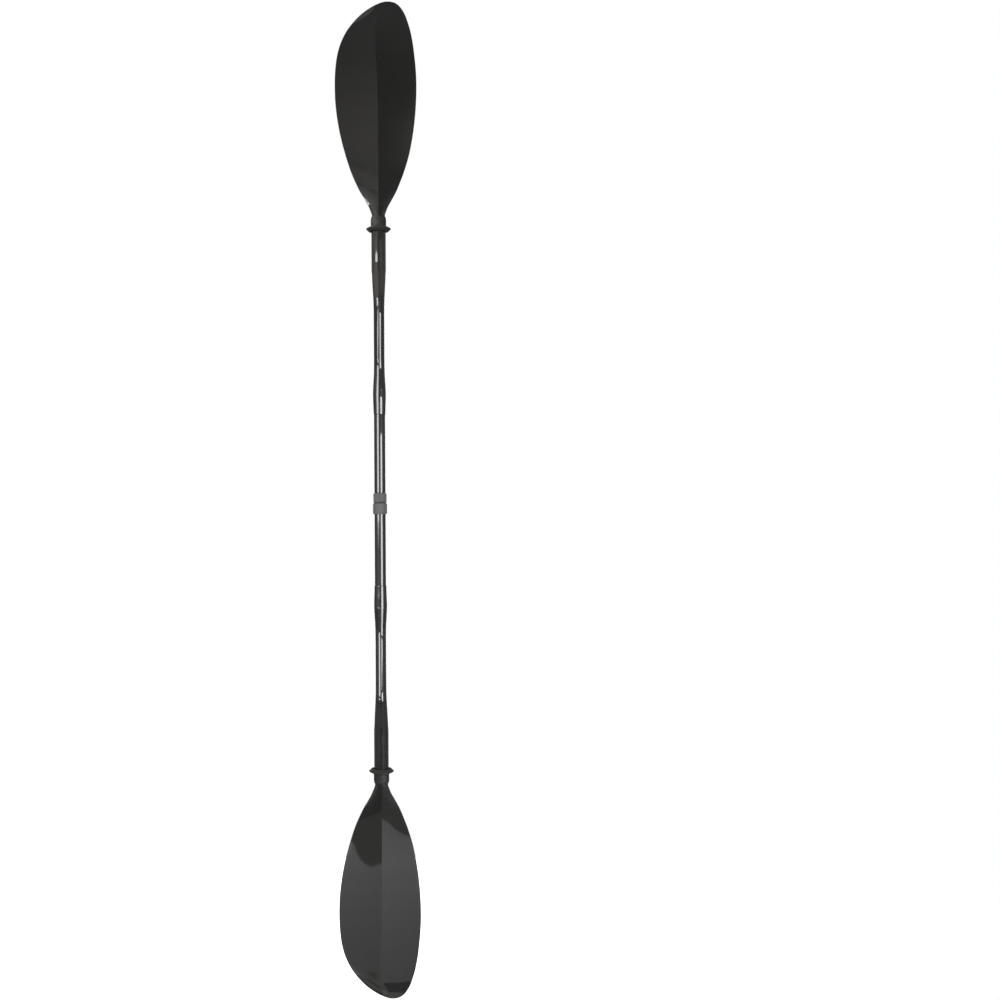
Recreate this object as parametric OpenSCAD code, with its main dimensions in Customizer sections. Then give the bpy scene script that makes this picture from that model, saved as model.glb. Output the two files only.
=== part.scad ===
// Two-piece touring kayak paddle with crank-shaft (double-bend) carbon tubes,
// asymmetric dihedral blades and a lever-lock ferrule that sets length and feather.
// The paddle stands on its long axis: Z runs tip to tip, the centre tubes lie on the
// Z axis, the blades' power faces look towards -Y and the lever is on the +Y side.
// The origin is half way between the two tips. The lower half mirrors the upper one.

/* [Paddle] */
// Length from tip to tip with the ferrule closed
paddle_len = 2200; // [2140:10:2400]
// Fore-aft offset of the blades and drip rings from the centre tubes
neck_offset = 19; // [14:0.5:24]
// Fore-aft offset of the crank peak, before its corner is rounded
crank_offset = 34; // [26:0.5:38]

/* [Blade] */
// Greatest width of a blade
blade_w = 181; // [150:1:200]
// Thickness of each carbon skin
skin_t = 1; // [0.8:0.1:1.2]
// Width of the edge band around a blade
band_w = 3.5; // [2.5:0.5:5]
// Depth of the scoop in each half of the power face
scoop = 1.5; // [1:0.5:4]

/* [Shaft] */
// Outer diameter of the centre tubes
tube_d = 25.4; // [25:0.1:26]
// Wall of the centre tubes
tube_wall = 1.1; // [1:0.1:1.2]
// Width across the oval hand grip
grip_w = 24.6; // [23:0.2:28]
// Fore-aft depth of the oval hand grip
grip_d = 32.6; // [30:0.2:34]
// Diameter of the shaft under the drip rings
root_d = 32; // [31:0.2:33]
// Length of centre tube that is glued into the crank shaft
tube_overlap = 46; // [30:1:46]

/* [Drip ring] */
// Diameter over the drip ring's rim
drip_d = 55; // [46:1:62]
// Length of its sleeve towards the blade
sleeve_l = 29; // [24:1:32]

/* [Ferrule] */
// How far the sliding tube reaches below the clamp's mouth when closed
ferrule_reach = 157; // [120:1:160]
// Diameter of the sliding part of the ferrule
ferrule_d = 21.9; // [21.5:0.1:21.9]
// Radial running clearance of the ferrule in its bush
run_gap = 0.05; // [0.02:0.01:0.09]
// Width of the keyway along the ferrule
key_w = 3; // [2:0.5:4]

/* [Clamp] */
// Outer diameter of the clamp collar
collar_d = 31.3; // [30.5:0.1:32]
// Outer diameter of the knurled index ring
ring_d = 29.5; // [28.5:0.1:30.5]
// Number of knurls around the index ring
knurls = 44; // [30:1:60]
// Height of the cam lobe, which sets how far the pad lets go
cam_rise = 1; // [0.8:0.1:1.2]
// Diameter of the lever's pin
pin_d = 2.5; // [2:0.1:3]
// Width of the lever
lever_w = 14; // [12:0.5:14]

/* [Hidden] */
$fn = 96;
half = paddle_len / 2;
sh = half - 1100;            // shift of everything outboard of the centre tubes
tube_r = tube_d / 2;
bore_r = tube_r - tube_wall; // inside of a centre tube
fer_r = ferrule_d / 2;
ws = blade_w / 181;          // width scale of the blade outline

// Heights of the joint, all from the origin
joint_top = 14.8;            // top of the index ring
groove_top = -4.4;
collar_top = -7.7;
collar_bot = -31.5;
tube_low_top = -12;          // upper end of the lower centre tube
pivot_y = 17;                // lever pin
pivot_z = -18;
hub_r = 2.2;                 // cam without its lobe

carbon = "#26262a";
carbon_in = "#3a3a3e";
foam = "#d8cfa8";
rubber = "#1c1c1c";
grey = "#6c6d6f";
steel = "#b8bcc0";

// Centre line of the crank shaft, as [height, fore-aft offset]
crank_line = [
    [190, 0], [252, 0], [292, 4], [440, -crank_offset],
    [505, -neck_offset], [606, -neck_offset]];
// Outer half width and half depth of its oval section at each height
crank_out = [
    [190, 13.5, 13.5], [205, 13.9, 14.1], [220, 14.5, 14.9], [235, 14.9, 15.4],
    [250, 14.4, 15.6], [265, 13.6, 15.9], [280, 12.8, grip_d / 2], [300, grip_w / 2, grip_d / 2],
    [420, grip_w / 2, grip_d / 2], [440, 12.9, 16], [460, 14, 16], [480, 15, 16],
    [505, root_d / 2, root_d / 2], [606, root_d / 2, root_d / 2]];
// The same for the inside of its wall
crank_in = [
    [190, 12.87, 12.87], [240, 12.87, 12.87], [256, 12.4, 13.6], [280, 11.4, grip_d / 2 - 1.5],
    [300, grip_w / 2 - 1.3, grip_d / 2 - 1.5], [420, grip_w / 2 - 1.3, grip_d / 2 - 1.5],
    [440, 11.6, 14.6], [460, 12.7, 14.6], [480, 13.7, 14.7],
    [505, root_d / 2 - 1.3, root_d / 2 - 1.3], [606, root_d / 2 - 1.3, root_d / 2 - 1.3]];
crank_rows = [
    190, 194, 205, 220, 228, 235, 243, 251, 259, 267, 275, 284, 293, 303, 315, 350, 385,
    412, 424, 432, 440, 448, 456, 466, 478, 490, 502, 514, 530, 570, 606];

// Blade outline from the neck to the tip: left x, left z, right x, right z, crease x
blade_rows = [
    [-14.35, 572, 14.35, 572, 0], [-14.35, 600, 14.35, 600, 0], [-14.4, 626, 14.4, 626, 0],
    [-16, 634, 16, 634, 0], [-21.5, 648, 21.5, 648, 0], [-29, 662, 29.5, 662, 0],
    [-40, 680, 39.5, 680, 0], [-50, 700, 48, 700, 0], [-60.5, 725, 57.5, 725, 0],
    [-71.5, 760, 68, 760, 0], [-82, 800, 76, 800, 0], [-89.5, 840, 81.5, 840, 0],
    [-94, 880, 84.7, 880, 0], [-95.2, 920, 85.8, 920, -1], [-93.7, 955, 84.4, 955, -2],
    [-89.5, 985, 81.5, 985, -4], [-81.5, 1012, 78, 1012, -5], [-68, 1038, 72.7, 1038, -5],
    [-50, 1060, 66.5, 1058, -2], [-31, 1077, 60, 1074, 6], [-10, 1090, 50.5, 1088, 16],
    [6, 1097, 40, 1096.5, 21], [17, 1100, 28, 1100, 22]];
// Depths across the blade, measured from the neck's axis, as [height, depth]
edge_y = [
    [572, -0.2], [632, -0.3], [645, -2.5], [662, -6.5], [700, -9], [740, -8], [780, -5],
    [823, -1.6], [866, 1], [908, 3], [951, 4.2], [994, 3.8], [1036, 1], [1068, -3], [1100, -8]];
ridge_y = [
    [572, -14.35], [632, -14.3], [662, -13.5], [700, -11.5], [740, -8.4], [780, -5],
    [823, -1.4], [866, 1.4], [908, 3.4], [951, 4.5], [994, 4], [1036, 1], [1068, -3], [1100, -8]];
spine_y = [
    [572, 14.35], [632, 14.3], [662, 13.7], [700, 13], [740, 13.2], [780, 13.9],
    [823, 15.3], [866, 16.3], [908, 16], [951, 14.2], [994, 11.2], [1036, 6.5], [1068, 1.4], [1100, -4.3]];
rim_t = [[572, 0.4], [632, 0.6], [648, 2.2], [680, 3], [740, 3.4], [908, 3.6], [1100, 3.4]];
panel_t = [[572, 4], [680, 5], [908, 5], [1036, 4.3], [1100, 3.5]];
rib_w = [[572, 15], [680, 15], [740, 17], [823, 22], [908, 30], [1000, 40], [1100, 40]];
scoop_k = [[640, 0], [700, 0.3], [760, 0.7], [880, 1], [980, 0.9], [1060, 0.45], [1100, 0]];
band_k = [[572, 0.86], [632, 0.86], [662, band_w], [1100, band_w]];

function step01(v) = let (c = max(0, min(1, v))) c * c * (3 - 2 * c);
function smooth(z, table, w) =
    (lookup(z - w, table) + 2 * lookup(z - w / 2, table) + 2 * lookup(z, table)
    + 2 * lookup(z + w / 2, table) + lookup(z + w, table)) / 8;
function col(table, c) = [for (r = table) [r[0], r[c]]];

// ---- tubes with a bend: one closed wall between an outer and an inner sweep
function crank_y(z) = let (w = 16)
    (lookup(z - w, crank_line) + lookup(z - w * 2 / 3, crank_line) + lookup(z - w / 3, crank_line)
    + lookup(z, crank_line) + lookup(z + w / 3, crank_line) + lookup(z + w * 2 / 3, crank_line)
    + lookup(z + w, crank_line)) / 7;

module crank_wall(n = 24) {
    ao = col(crank_out, 1);
    bo = col(crank_out, 2);
    ai = col(crank_in, 1);
    bi = col(crank_in, 2);
    m = len(crank_rows);
    outer = [for (z = crank_rows) for (j = [0 : n - 1])
        [lookup(z, ao) * cos(360 * j / n), crank_y(z) + lookup(z, bo) * sin(360 * j / n), z + sh]];
    inner = [for (z = crank_rows) for (j = [0 : n - 1])
        [lookup(z, ai) * cos(360 * j / n), crank_y(z) + lookup(z, bi) * sin(360 * j / n), z + sh]];
    o = m * n;
    walls = [for (i = [0 : m - 2]) for (j = [0 : n - 1])
        let (a = i * n + j, b = i * n + (j + 1) % n, c = a + n, d = b + n)
        each [[a, c, d], [a, d, b], [o + a, o + d, o + c], [o + a, o + b, o + d]]];
    ends = [for (j = [0 : n - 1])
        let (k = (j + 1) % n, t = (m - 1) * n)
        each [[j, k, o + k], [j, o + k, o + j],
            [t + k, t + j, o + t + j], [t + k, o + t + j, o + t + k]]];
    polyhedron(points = concat(outer, inner), faces = concat(walls, ends), convexity = 6);
}

// ---- blade: rows of points between the two edges, split at the crease
function cr(a, b, c, d, t) =
    0.5 * ((2 * b) + (c - a) * t + (2 * a - 5 * b + 4 * c - d) * t * t + (3 * b - a - 3 * c + d) * t * t * t);
rows_n = len(blade_rows);
function row_at(v) = let (i = min(rows_n - 2, floor(v)), t = v - i,
    a = blade_rows[max(0, i - 1)], b = blade_rows[i], c = blade_rows[i + 1],
    d = blade_rows[min(rows_n - 1, i + 2)])
    t == 0 ? b : t == 1 ? c : cr(a, b, c, d, t);
sub = 2;                       // steps between two rows of the outline
nv = (rows_n - 1) * sub;       // last row index
frac = [1, 0.8, 0.58, 0.36, 0.16];
// Lateral stations of a row, from -1 at the left edge to 1 at the right edge
function stations(tb) = concat([-1], [for (f = frac) -tb * f], [0],
    [for (k = [len(frac) - 1 : -1 : 0]) tb * frac[k]], [1]);
nt = 2 * len(frac) + 3;

// Depth of the power face and of the back face; t is the lateral station, x and z the place
function round_k(z) = step01((z - 628) / 62);
function face_front(t, z) = let (k = round_k(z), e = smooth(z, edge_y, 16), r = smooth(z, ridge_y, 16),
    f = (1 - k) * sqrt(max(0, 1 - t * t)) + k * (1 - pow(abs(t), 1.15)))
    e + (r - e) * f + scoop * smooth(z, scoop_k, 16) * 4 * abs(t) * (1 - abs(t)) * k;
function face_back(t, x, z) = let (k = round_k(z), e = smooth(z, edge_y, 16), te = smooth(z, rim_t, 8),
    r = smooth(z, ridge_y, 16), b = smooth(z, spine_y, 16), p = lookup(z, panel_t), s = lookup(z, rib_w),
    ring = e + te + (b - e - te) * sqrt(max(0, 1 - t * t)),
    panel = face_front(t, z) + te + (p - te) * (1 - t * t)
        + max(0, b - r - p) * exp(-(x / s) * (x / s)))
    (1 - k) * ring + k * panel;

// One grid point: [x, y, z] on layer 0 (outer skin surface) or pushed in by d
function grid_pt(row, t, side, d) = let (
    lx = row[0] * ws, rx = row[2] * ws, cx = row[4] * ws,
    x0 = t < 0 ? cx + (cx - lx) * t : cx + (rx - cx) * t,
    u = (x0 - lx) / (rx - lx), z = row[1] + (row[3] - row[1]) * u, k = round_k(z),
    x = x0 * (1 - (1 - k) * d / 14.4),
    o = d * ((1 - k) * sqrt(max(0, 1 - t * t)) + k))
    [x, -neck_offset + (side == 0 ? face_front(t, z) + o : face_back(t, x0, z) - o), z + sh];
function row_tb(row) = 1 - lookup(row[1], band_k) / ((row[2] - row[0]) * ws / 2);

// Slab between two layers of the grid, over the cells that use(i, j) keeps
module grid_slab(side_a, d_a, side_b, d_b, keep, lo, hi) {
    rows = [for (i = [0 : nv]) row_at(i / sub)];
    front = [for (r = rows) let (ts = stations(row_tb(r))) for (t = ts) grid_pt(r, t, side_a, d_a)];
    back = [for (r = rows) let (ts = stations(row_tb(r))) for (t = ts) grid_pt(r, t, side_b, d_b)];
    n = len(front);
    function on(i, j) = i >= lo && i < hi && j >= 0 && j < nt - 1 &&
        (keep == "all" ? true
        : keep == "core" ? j > 0 && j < nt - 2 && i < nv - 2 * sub
        : j == 0 || j == nt - 2 || i >= nv - 2 * sub);
    faces = [for (i = [lo : hi - 1]) for (j = [0 : nt - 2]) if (on(i, j))
        let (a = i * nt + j, b = a + 1, c = a + nt, d = c + 1)
        each concat(
            [[a, c, d], [a, d, b], [n + a, n + d, n + c], [n + a, n + b, n + d]],
            on(i, j - 1) ? [] : [[a, n + a, n + c], [a, n + c, c]],
            on(i, j + 1) ? [] : [[b, d, n + d], [b, n + d, n + b]],
            on(i - 1, j) ? [] : [[a, b, n + b], [a, n + b, n + a]],
            on(i + 1, j) ? [] : [[c, n + c, n + d], [c, n + d, d]])];
    polyhedron(points = concat(front, back), faces = faces, convexity = 8);
}

core_lo = 4 * sub;             // the core starts above the spigot
band_lo = 5 * sub;             // the edge band starts where the neck has opened out

module power_skin() { grid_slab(0, 0, 0, skin_t, "all", 0, nv); }
module back_skin() { grid_slab(1, skin_t, 1, 0, "all", 0, nv); }
module foam_core() { grid_slab(0, skin_t + 0.05, 1, skin_t + 0.05, "core", core_lo, nv); }
module edge_band() { grid_slab(0, skin_t + 0.05, 1, skin_t + 0.05, "band", band_lo, nv); }

module upper_power_face() { color(carbon) power_skin(); }
module lower_power_face() { color(carbon) mirror([0, 0, 1]) power_skin(); }
module upper_back_face() { color(carbon) back_skin(); }
module lower_back_face() { color(carbon) mirror([0, 0, 1]) back_skin(); }
module upper_blade_core() { color(foam) foam_core(); }
module lower_blade_core() { color(foam) mirror([0, 0, 1]) foam_core(); }
module upper_edge_band() { color(rubber) edge_band(); }
module lower_edge_band() { color(rubber) mirror([0, 0, 1]) edge_band(); }

// Stepped tube that joins the blade's moulded neck to the shaft
module spigot() {
    translate([0, -neck_offset, sh]) difference() {
        union() {
            translate([0, 0, 540]) cylinder(r = root_d / 2 - 1.5, h = 31);
            translate([0, 0, 570]) cylinder(r = 13.05, h = 58);
        }
        translate([0, 0, 539]) cylinder(r = 11.7, h = 90);
    }
}
module upper_spigot() { color(carbon_in) spigot(); }
module lower_spigot() { color(carbon_in) mirror([0, 0, 1]) spigot(); }

// Rubber ring that throws the drips off: a cupped rim and a long sleeve over the neck
module drip_ring() {
    r = root_d / 2 + 0.05;
    translate([0, -neck_offset, 597 + sh]) rotate_extrude() polygon([
        [r, -2.6], [r + 0.9, -2.4], [r + 1.5, -0.9], [r + 2.7, -0.9], [r + 4.7, -3.9], [r + 5.5, -4.1],
        [drip_d / 2 - 4.0, -2.4], [drip_d / 2 - 1, 0.6], [drip_d / 2, 1.9],
        [drip_d / 2 - 0.5, 2.8], [drip_d / 2 - 3.2, 4.6], [r + 4.4, 6.5], [r + 2.1, 7.6], [r + 0.95, 8.5],
        [r + 0.95, 10], [r + 0.95, sleeve_l - 7], [r + 0.45, sleeve_l - 3.5], [r - 0.3, sleeve_l - 1],
        [r - 0.9, sleeve_l], [14.45, sleeve_l], [14.45, 9.1], [r, 9.1]]);
}
module upper_drip_ring() { color(rubber) drip_ring(); }
module lower_drip_ring() { color(rubber) mirror([0, 0, 1]) drip_ring(); }

module upper_crank_shaft() { color(carbon) crank_wall(); }
module lower_crank_shaft() { color(carbon) mirror([0, 0, 1]) crank_wall(); }

module straight_tube(z0, z1) {
    translate([0, 0, z0]) difference() {
        cylinder(r = tube_r, h = z1 - z0);
        translate([0, 0, -1]) cylinder(r = bore_r, h = z1 - z0 + 2);
    }
}
tube_end = 190 + sh + tube_overlap;
module upper_centre_tube() { color(carbon) straight_tube(joint_top + 0.2, tube_end); }
// The lower tube has a window for the cam's pad
module lower_centre_tube() {
    color(carbon) difference() {
        straight_tube(-tube_end, tube_low_top);
        pad_hole(3.75);
    }
}
module pad_hole(r) {
    translate([0, fer_r - 2, pivot_z]) rotate([-90, 0, 0]) cylinder(r = r, h = 12);
}

// Foam bulkheads keep water out of the shaft, so that it floats
module bulkhead() {
    translate([0, 0, 206 + sh]) cylinder(r = bore_r - 0.05, h = 24);
}
module upper_bulkhead() { color(foam) bulkhead(); }
module lower_bulkhead() { color(foam) mirror([0, 0, 1]) bulkhead(); }

// Ferrule: glued into the upper tube, keyed in the index ring, sliding in the lower tube
fer_bot = collar_top - ferrule_reach;
module ferrule_tube() {
    color(carbon_in) difference() {
        union() {
            translate([0, 0, fer_bot]) cylinder(r = fer_r, h = joint_top + 0.4 - fer_bot);
            translate([0, 0, joint_top + 0.4]) cylinder(r = bore_r - 0.05, h = 62);
        }
        translate([0, 0, fer_bot - 1]) cylinder(r = fer_r - 1.7, h = 260);
        translate([fer_r - 0.7, -key_w / 2, fer_bot - 1]) cube([3, key_w, joint_top - fer_bot + 1.2]);
    }
}
// Plug that closes the ferrule's open end
module ferrule_plug() {
    color(rubber) translate([0, 0, fer_bot - 2.5]) {
        rotate_extrude() polygon([
            [0, 0], [fer_r - 1.6, 0], [fer_r - 0.8, 0.9], [fer_r - 0.8, 2.45],
            [fer_r - 1.75, 2.45], [fer_r - 1.75, 13], [fer_r - 2.6, 14], [0, 14]]);
    }
}

// Knurled ring that carries the feather setting: it turns on the collar and is keyed to the ferrule
module index_ring() {
    r = ring_d / 2;
    color(grey) difference() {
        union() {
            intersection() {
                translate([0, 0, groove_top]) linear_extrude(joint_top - groove_top) polygon([
                    for (i = [0 : knurls - 1]) let (a = 360 / knurls) each [
                        for (p = [[0, 0.45], [0.22, 0], [0.72, 0], [0.94, 0.45]])
                            (r - p[1]) * [cos((i + p[0]) * a), sin((i + p[0]) * a)]]]);
                translate([0, 0, groove_top]) rotate_extrude() polygon([
                    [0, 0], [r - 1, 0], [r, 1], [r, joint_top - groove_top - 1.2],
                    [r - 1.2, joint_top - groove_top], [0, joint_top - groove_top]]);
            }
            translate([0, 0, -9]) cylinder(r = 12.4, h = 9 + groove_top + 1);
            translate([0, 0, -10]) cylinder(r = 13.6, h = 1.4);
        }
        difference() {
            translate([0, 0, -11]) cylinder(r = fer_r + run_gap, h = 30);
            translate([fer_r - 0.6, -key_w / 2 + 0.1, -12]) cube([3, key_w - 0.2, 32]);
        }
    }
}
// Rubber wiper in the dark groove between ring and collar
module ring_seal() {
    color(rubber) translate([0, 0, collar_top + 0.35]) rotate_extrude() polygon([
        [12.45, 0], [13.6, 0], [14.1, 0.5], [14.1, 2.3], [13.6, 2.9], [12.45, 2.9]]);
}

// Clamp collar: holds the lower tube, the ring's lip and the two ears for the lever
module clamp_collar() {
    r = collar_d / 2;
    color(grey) difference() {
        union() {
            translate([0, 0, collar_bot]) rotate_extrude() polygon([
                [0, 0], [r - 1.6, 0], [r, 1.6], [r, collar_top - collar_bot - 1], [r - 1, collar_top - collar_bot],
                [0, collar_top - collar_bot]]);
            // ears
            translate([-9.6, 0, 0]) rotate([90, 0, 90]) linear_extrude(19.2) polygon([
                [8, -28.5], [15, -28.5], [18.7, -25.5], [18.9, -12.5], [17.2, -9.2], [8, -9.2]]);
        }
        translate([0, 0, collar_bot - 1]) cylinder(r = tube_r + 0.02, h = tube_low_top - collar_bot + 1);
        translate([0, 0, tube_low_top - 1]) cylinder(r = 12.75, h = 6);
        translate([0, 0, -10.4]) cylinder(r = 13.9, h = 2.1);
        // slot for the lever's hub
        translate([-lever_w / 2 - 0.2, 13.3, -30]) cube([lever_w + 0.4, 10, 24]);
        pad_hole(3.75);
        translate([-12, pivot_y, pivot_z]) rotate([0, 90, 0]) cylinder(d = pin_d + 0.02, h = 24);
    }
}
// Nylon bush between the lower tube and the ferrule
module guide_bush() {
    color("#d9d9d4") difference() {
        union() {
            translate([0, 0, -66]) cylinder(r = bore_r - 0.03, h = 66 + tube_low_top + 0.5);
            translate([0, 0, tube_low_top + 0.02]) cylinder(r = tube_r, h = 1.2);
        }
        translate([0, 0, -67]) cylinder(r = fer_r + run_gap, h = 60);
        pad_hole(3.75);
    }
}

// Cam lever: hub with an eccentric lobe between the ears, arched arm and a finger lip on top
module cam_lever() {
    color(grey) difference() {
        union() {
            intersection() {
                translate([-lever_w / 2, 0, 0]) rotate([90, 0, 90]) linear_extrude(lever_w) polygon([
                    [16.3, -16.6], [16.2, -6.5], [16.6, -2.5], [18.3, 0.8], [18.7, 3.5],
                    [18.6, 7.2], [17.6, 9.4], [16.5, 10.8], [16.4, 13.2], [17.2, 14.6], [19, 14.8],
                    [20.8, 13], [21.7, 9.5], [22, 5], [21.9, 1], [21.2, -4], [20.2, -10], [19.4, -15],
                    [18.6, -16.6]]);
                translate([0, 0, -40]) cylinder(r = 22.4, h = 80);
            }
            translate([-lever_w / 2, pivot_y, pivot_z]) rotate([0, 90, 0]) cylinder(r = hub_r, h = lever_w);
            translate([-lever_w / 2, pivot_y - cam_rise, pivot_z]) rotate([0, 90, 0])
                cylinder(r = hub_r, h = lever_w);
            translate([-lever_w / 2, pivot_y - cam_rise, pivot_z - hub_r]) cube([lever_w, cam_rise, 2 * hub_r]);
        }
        // the arm hugs the round of the collar
        difference() {
            translate([0, 0, -14]) cylinder(r = 16, h = 40);
            translate([-20, -20, -40]) cube([40, 20, 80]);
        }
        translate([-12, pivot_y, pivot_z]) rotate([0, 90, 0]) cylinder(d = pin_d + 0.1, h = 24);
        // shallow thumb hollow
        translate([-2.5, 30.6, 5.5]) rotate([0, 90, 0]) cylinder(r = 9.4, h = 5);
    }
}
module lever_pin() {
    color(steel) translate([-9.5, pivot_y, pivot_z]) rotate([0, 90, 0]) cylinder(d = pin_d, h = 19);
}
// Pad that the cam drives against the ferrule
module cam_pad() {
    y1 = pivot_y - hub_r - cam_rise - 0.1;
    color(rubber) difference() {
        translate([0, 8, pivot_z]) rotate([-90, 0, 0]) cylinder(r = 3.6, h = y1 - 8);
        translate([0, 0, pivot_z - 10]) cylinder(r = fer_r + 0.06, h = 20);
    }
}

upper_power_face();
upper_back_face();
upper_blade_core();
upper_edge_band();
upper_spigot();
upper_drip_ring();
upper_crank_shaft();
upper_centre_tube();
upper_bulkhead();
ferrule_tube();
ferrule_plug();
index_ring();
ring_seal();
clamp_collar();
guide_bush();
cam_lever();
lever_pin();
cam_pad();
lower_centre_tube();
lower_bulkhead();
lower_crank_shaft();
lower_drip_ring();
lower_spigot();
lower_power_face();
lower_back_face();
lower_blade_core();
lower_edge_band();
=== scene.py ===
import bpy
import math
import numpy as np
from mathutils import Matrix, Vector


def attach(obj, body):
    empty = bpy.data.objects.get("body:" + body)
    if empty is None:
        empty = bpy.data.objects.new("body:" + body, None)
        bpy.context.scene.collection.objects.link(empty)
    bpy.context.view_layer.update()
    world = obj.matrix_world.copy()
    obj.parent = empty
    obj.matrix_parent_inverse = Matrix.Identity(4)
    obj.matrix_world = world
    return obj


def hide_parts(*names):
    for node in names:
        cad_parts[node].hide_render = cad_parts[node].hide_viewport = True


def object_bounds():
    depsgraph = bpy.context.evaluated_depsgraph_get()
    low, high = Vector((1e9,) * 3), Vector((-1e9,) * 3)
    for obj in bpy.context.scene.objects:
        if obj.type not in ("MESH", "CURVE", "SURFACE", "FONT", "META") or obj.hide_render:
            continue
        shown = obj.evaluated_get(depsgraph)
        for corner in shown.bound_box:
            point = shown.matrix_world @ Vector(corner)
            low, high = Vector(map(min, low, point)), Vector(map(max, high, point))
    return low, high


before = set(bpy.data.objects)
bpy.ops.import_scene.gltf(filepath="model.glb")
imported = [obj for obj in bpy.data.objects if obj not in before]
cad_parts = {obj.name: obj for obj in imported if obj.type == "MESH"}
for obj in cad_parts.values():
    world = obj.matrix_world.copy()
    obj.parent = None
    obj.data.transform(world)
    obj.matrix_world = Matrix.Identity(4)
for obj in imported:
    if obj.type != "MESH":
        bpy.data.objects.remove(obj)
cad_lo, cad_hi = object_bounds()
scene = bpy.context.scene
scene.view_settings.view_transform = "Standard"
scene.view_settings.look = "None"
scene.view_settings.exposure = 0.0
scene.view_settings.gamma = 1.0

MM = 0.001

# ---------------------------------------------------------------- shape tables (millimetres)
NECK = 19.0
CRANK_LINE = [[190, 0], [252, 0], [292, 4], [440, -34], [505, -19], [606, -19]]
CRANK_OUT = [
    [190, 13.5, 13.5], [205, 13.9, 14.1], [220, 14.5, 14.9], [235, 14.9, 15.4],
    [250, 14.4, 15.6], [265, 13.6, 15.9], [280, 12.8, 16.3], [300, 12.3, 16.3],
    [420, 12.3, 16.3], [440, 12.9, 16], [460, 14, 16], [480, 15, 16],
    [505, 16, 16], [606, 16, 16]]
BLADE_ROWS = [
    [-14.35, 572, 14.35, 572, 0], [-14.35, 600, 14.35, 600, 0], [-14.4, 626, 14.4, 626, 0],
    [-16, 634, 16, 634, 0], [-21.5, 648, 21.5, 648, 0], [-29, 662, 29.5, 662, 0],
    [-40, 680, 39.5, 680, 0], [-50, 700, 48, 700, 0], [-60.5, 725, 57.5, 725, 0],
    [-71.5, 760, 68, 760, 0], [-82, 800, 76, 800, 0], [-89.5, 840, 81.5, 840, 0],
    [-94, 880, 84.7, 880, 0], [-95.2, 920, 85.8, 920, -1], [-93.7, 955, 84.4, 955, -2],
    [-89.5, 985, 81.5, 985, -4], [-81.5, 1012, 78, 1012, -5], [-68, 1038, 72.7, 1038, -5],
    [-50, 1060, 66.5, 1058, -2], [-31, 1077, 60, 1074, 6], [-10, 1090, 50.5, 1088, 16],
    [6, 1097, 40, 1096.5, 21], [17, 1100, 28, 1100, 22]]
EDGE_Y = [
    [572, -0.2], [632, -0.3], [645, -2.5], [662, -6.5], [700, -9], [740, -8], [780, -5],
    [823, -1.6], [866, 1], [908, 3], [951, 4.2], [994, 3.8], [1036, 1], [1068, -3], [1100, -8]]
RIDGE_Y = [
    [572, -14.35], [632, -14.3], [662, -13.5], [700, -11.5], [740, -8.4], [780, -5],
    [823, -1.4], [866, 1.4], [908, 3.4], [951, 4.5], [994, 4], [1036, 1], [1068, -3], [1100, -8]]
SPINE_Y = [
    [572, 14.35], [632, 14.3], [662, 13.7], [700, 13], [740, 13.2], [780, 13.9],
    [823, 15.3], [866, 16.3], [908, 16], [951, 14.2], [994, 11.2], [1036, 6.5], [1068, 1.4], [1100, -4.3]]
RIM_T = [[572, 0.4], [632, 0.6], [648, 2.2], [680, 3], [740, 3.4], [908, 3.6], [1100, 3.4]]
PANEL_T = [[572, 4], [680, 5], [908, 5], [1036, 4.3], [1100, 3.5]]
RIB_W = [[572, 15], [680, 15], [740, 17], [823, 22], [908, 30], [1000, 40], [1100, 40]]
SCOOP_K = [[640, 0], [700, 0.3], [760, 0.7], [880, 1], [980, 0.9], [1060, 0.45], [1100, 0]]
SCOOP = 1.5
SKIN = 1.0


def look(z, table, c=1):
    return np.interp(z, [r[0] for r in table], [r[c] for r in table])


def soft(z, table, w, c=1):
    """The table averaged over +-w with raised-cosine weights, so its slope has no steps."""
    u = np.linspace(-1, 1, 41)[1:-1]
    wt = 1 + np.cos(np.pi * u)
    wt /= wt.sum()
    z = np.asarray(z, float)
    out = np.zeros_like(z)
    for a, b in zip(u, wt):
        out += b * look(z + a * w, table, c)
    return out


def step01(v):
    c = np.clip(v, 0, 1)
    return c * c * (3 - 2 * c)


def round_k(z):
    return step01((z - 628) / 62)


def face_front(t, z):
    k = round_k(z)
    e, r = soft(z, EDGE_Y, 27), soft(z, RIDGE_Y, 27)
    a = np.abs(t)
    f = (1 - k) * np.sqrt(np.maximum(0, 1 - t * t)) + k * (1 - a ** 1.15)
    return e + (r - e) * f + SCOOP * soft(z, SCOOP_K, 27) * 4 * a * (1 - a) * k


def face_back(t, x, z):
    k = round_k(z)
    e, te = soft(z, EDGE_Y, 27), soft(z, RIM_T, 14)
    r, b = soft(z, RIDGE_Y, 27), soft(z, SPINE_Y, 27)
    p, s = soft(z, PANEL_T, 14), soft(z, RIB_W, 14)
    ring = e + te + (b - e - te) * np.sqrt(np.maximum(0, 1 - t * t))
    panel = face_front(t, z) + te + (p - te) * (1 - t * t) + np.maximum(0, b - r - p) * np.exp(-(x / s) ** 2)
    return (1 - k) * ring + k * panel


def blade_grid_rows(sub):
    rows = np.array(BLADE_ROWS, float)
    n = len(rows)
    out = []
    for i in range(n - 1):
        a, b, c, d = rows[max(0, i - 1)], rows[i], rows[i + 1], rows[min(n - 1, i + 2)]
        for s in range(sub):
            t = s / sub
            out.append(0.5 * ((2 * b) + (c - a) * t + (2 * a - 5 * b + 4 * c - d) * t * t
                              + (3 * b - a - 3 * c + d) * t * t * t))
    out.append(rows[-1])
    return np.array(out)


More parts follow.
